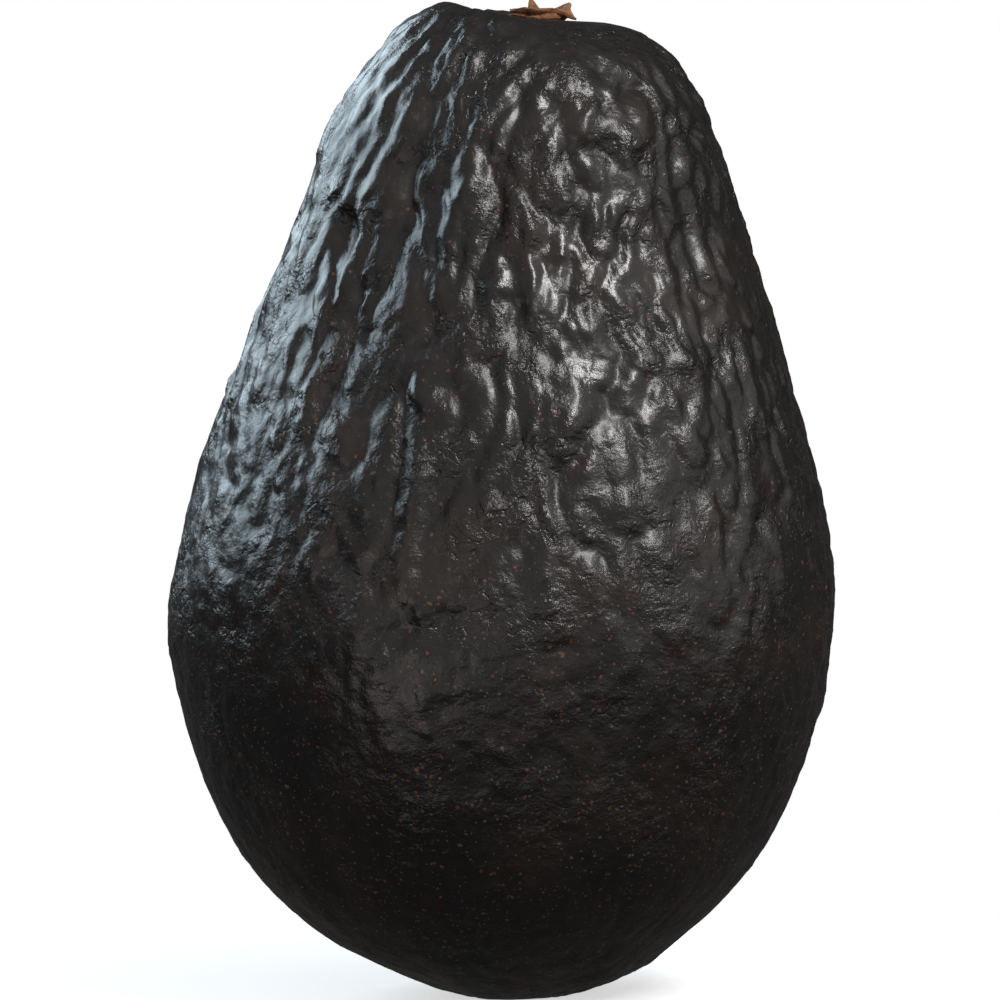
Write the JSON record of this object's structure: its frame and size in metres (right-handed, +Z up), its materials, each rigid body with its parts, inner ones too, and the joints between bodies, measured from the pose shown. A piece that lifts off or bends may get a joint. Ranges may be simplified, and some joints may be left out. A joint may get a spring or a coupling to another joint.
{
  "type": "avocado",
  "caption": "Whole ripe avocado with dark pebbled skin and the dried stub of its stalk, standing on its blunt end on a small flat spot.",
  "frame": {"origin": "on the surface that the fruit stands on, under the middle of its bounding box", "axes": "+Z up along the fruit from its blunt end to its stalk, +X to the right and -Y towards the viewer in the reference view"},
  "size_m": [0.0669, 0.0647, 0.0996],
  "materials": {
    "skin": "satin",
    "dry_stalk": "matte"
  },
  "bodies": {
    "root": {"fruit": "skin", "stalk_stub": "dry_stalk"}
  },
  "joints": []
}
